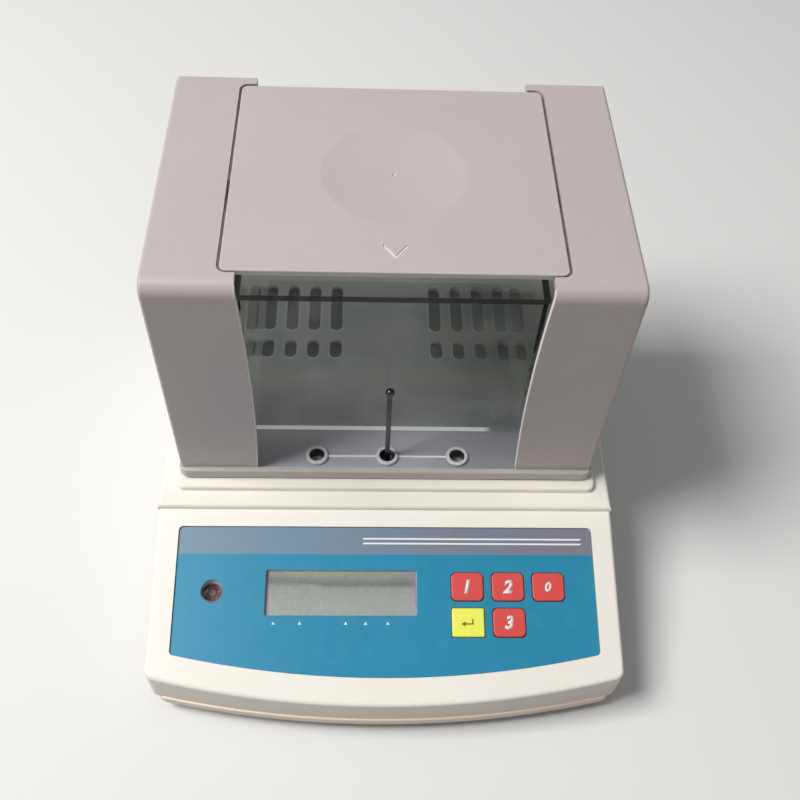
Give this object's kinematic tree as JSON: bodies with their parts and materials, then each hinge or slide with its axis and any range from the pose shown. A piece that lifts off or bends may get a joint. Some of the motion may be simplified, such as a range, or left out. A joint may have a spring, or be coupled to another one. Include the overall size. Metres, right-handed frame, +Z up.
{
  "type": "benchtop density meter",
  "caption": "Benchtop density meter: wedge case with sloping key panel and display, hooded clear tank behind, flush weighing pan on top, slim probe in front of the tank.",
  "frame": {"origin": "centre of the overall footprint, on the table", "axes": "+X right, +Y back, +Z up, seen by the person at the keys; the panel faces -Y"},
  "size_m": [0.19, 0.2122, 0.1644],
  "materials": {
    "case_plastic": "satin ivory",
    "hood_plastic": "satin warm grey",
    "pan_plastic": "smooth satin light grey",
    "panel_film": "printed blue film",
    "clear_window": "clear polished",
    "lcd_grey": "grey display",
    "black_plastic": "moulded black",
    "circuit_board": "green board",
    "screw_steel": "plated",
    "probe_steel": "polished",
    "ribbon_plastic": "flat cable",
    "level_plastic": "dark cup",
    "clear_vial": "tinted vial",
    "bubble": "air bubble",
    "clear_acrylic": "clear acrylic",
    "rubber": "soft black",
    "aluminium": "milled",
    "brass": "turned",
    "key_plastic": "moulded red",
    "key_enter_plastic": "moulded yellow"
  },
  "bodies": {
    "base": {"bottom_case": "case_plastic", "top_case": "case_plastic", "control_overlay": "panel_film", "lcd_window": "clear_window", "lcd_glass": "lcd_grey", "lcd_frame": "black_plastic", "display_board": "circuit_board", "key_switches": "black_plastic", "display_screws": "screw_steel", "display_ribbon": "ribbon_plastic", "level_cup": "level_plastic", "level_vial": "clear_vial", "level_bubble": "bubble", "main_board": "circuit_board", "main_board_screws": "screw_steel", "dc_jack": "black_plastic", "switch_body": "black_plastic", "case_screws": "screw_steel", "tray": "hood_plastic", "tray_screws": "screw_steel", "tool_socket_left": "hood_plastic", "tool_socket_middle": "hood_plastic", "tool_socket_right": "hood_plastic", "water_tank": "clear_acrylic", "tank_pads": "rubber", "load_cell": "aluminium", "cell_mount": "aluminium", "cell_screws": "screw_steel", "overload_stop": "screw_steel", "foot_inserts": "brass"},
    "hood": {"hood": "hood_plastic"},
    "pan": {"weighing_pan": "pan_plastic"},
    "weigh_frame": {"pan_pads": "rubber", "pan_bracket": "aluminium", "frame_posts": "screw_steel", "post_nuts": "screw_steel", "carrier_arm": "aluminium", "carrier_screws": "screw_steel"},
    "probe": {"probe": "probe_steel"},
    "power_rocker": {"switch_rocker": "black_plastic"},
    "key_a": {"key_a": "key_plastic"},
    "key_b": {"key_b": "key_plastic"},
    "key_zero": {"key_zero": "key_plastic"},
    "key_enter": {"key_enter": "key_enter_plastic"},
    "key_c": {"key_c": "key_plastic"},
    "foot_front_left": {"foot_pad_front_left": "rubber", "foot_screw_front_left": "black_plastic"},
    "foot_front_right": {"foot_pad_front_right": "rubber", "foot_screw_front_right": "black_plastic"},
    "foot_rear_left": {"foot_pad_rear_left": "rubber", "foot_screw_rear_left": "black_plastic"},
    "foot_rear_right": {"foot_pad_rear_right": "rubber", "foot_screw_rear_right": "black_plastic"}
  },
  "joints": [
    {"name": "weigh_press", "type": "slide", "parent": "base", "child": "weigh_frame", "axis": [0, 0, -1], "range_m": [0, 0.0004], "stiffness_N_per_m": 20000, "springref_m": -0.0001, "deforming": ["load_cell"]},
    {"name": "pan_lift", "type": "slide", "parent": "weigh_frame", "child": "pan", "axis": [0, 0, 1], "range_m": [0, 0.04]},
    {"name": "hood_lift", "type": "slide", "parent": "base", "child": "hood", "axis": [0, 0, 1], "range_m": [0, 0.115]},
    {"name": "probe_lift", "type": "slide", "parent": "base", "child": "probe", "axis": [0, 0, 1], "range_m": [0, 0.045]},
    {"name": "power_switch", "type": "hinge", "parent": "base", "child": "power_rocker", "pos_m": [0.038, 0.1009, 0.027], "axis": [1, 0, 0], "range_deg": [-16, 0]},
    {"name": "key_a_press", "type": "slide", "parent": "base", "child": "key_a", "axis": [0, 0.2546, -0.967], "range_m": [0, 0.0005], "stiffness_N_per_m": 400, "springref_m": -0.0006},
    {"name": "key_b_press", "type": "slide", "parent": "base", "child": "key_b", "axis": [0, 0.2546, -0.967], "range_m": [0, 0.0005], "stiffness_N_per_m": 400, "springref_m": -0.0006},
    {"name": "key_zero_press", "type": "slide", "parent": "base", "child": "key_zero", "axis": [0, 0.2546, -0.967], "range_m": [0, 0.0005], "stiffness_N_per_m": 400, "springref_m": -0.0006},
    {"name": "key_enter_press", "type": "slide", "parent": "base", "child": "key_enter", "axis": [0, 0.2546, -0.967], "range_m": [0, 0.0005], "stiffness_N_per_m": 400, "springref_m": -0.0006},
    {"name": "key_c_press", "type": "slide", "parent": "base", "child": "key_c", "axis": [0, 0.2546, -0.967], "range_m": [0, 0.0005], "stiffness_N_per_m": 400, "springref_m": -0.0006},
    {"name": "height_front_left", "type": "slide", "parent": "base", "child": "foot_front_left", "axis": [0, 0, 1], "range_m": [-0.0024, 0.0006]},
    {"name": "height_front_right", "type": "slide", "parent": "base", "child": "foot_front_right", "axis": [0, 0, 1], "range_m": [-0.0024, 0.0006]},
    {"name": "height_rear_left", "type": "slide", "parent": "base", "child": "foot_rear_left", "axis": [0, 0, 1], "range_m": [-0.0024, 0.0006]},
    {"name": "height_rear_right", "type": "slide", "parent": "base", "child": "foot_rear_right", "axis": [0, 0, 1], "range_m": [-0.0024, 0.0006]}
  ]
}
